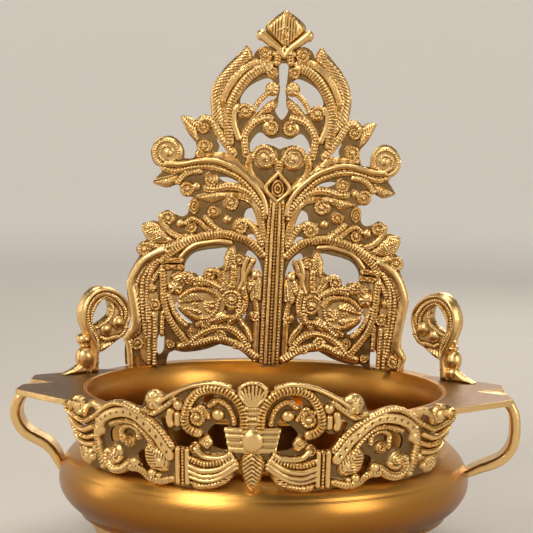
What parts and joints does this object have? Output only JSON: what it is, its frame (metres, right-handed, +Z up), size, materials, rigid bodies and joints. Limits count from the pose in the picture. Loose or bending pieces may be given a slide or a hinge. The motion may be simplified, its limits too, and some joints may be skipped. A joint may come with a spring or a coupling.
{
  "type": "brass urli bowl",
  "caption": "Wide footed brass bowl with strap handles, a pierced scrollwork back panel, a pierced front apron and scroll finials on the rim.",
  "frame": {"origin": "on the ground under the bowl's axis, at the middle of the whole object's box", "axes": "+Z up, -Y towards the front apron, +X to the right seen from the front"},
  "size_m": [0.4333, 0.3469, 0.4598],
  "materials": {
    "polished_brass": "turned and hand polished, faint spun rings, light tarnish",
    "cast_brass": "sand cast and filed, slightly pitted",
    "carved_brass": "cast relief, buffed on the high parts, brown patina in the recesses",
    "fastener_brass": "plain turned"
  },
  "bodies": {
    "root": {"bowl": "polished_brass", "handle_left": "cast_brass", "handle_right": "cast_brass", "back_panel": "carved_brass", "front_apron": "carved_brass", "finial_left": "carved_brass", "finial_right": "carved_brass", "foot_left": "carved_brass", "foot_right": "carved_brass", "foot_back": "carved_brass", "panel_studs": "fastener_brass", "panel_washers": "fastener_brass", "panel_nuts": "fastener_brass", "finial_studs": "fastener_brass", "finial_washers": "fastener_brass", "finial_nuts": "fastener_brass", "apron_studs": "cast_brass", "apron_washers": "fastener_brass", "apron_nuts": "fastener_brass"}
  },
  "joints": []
}
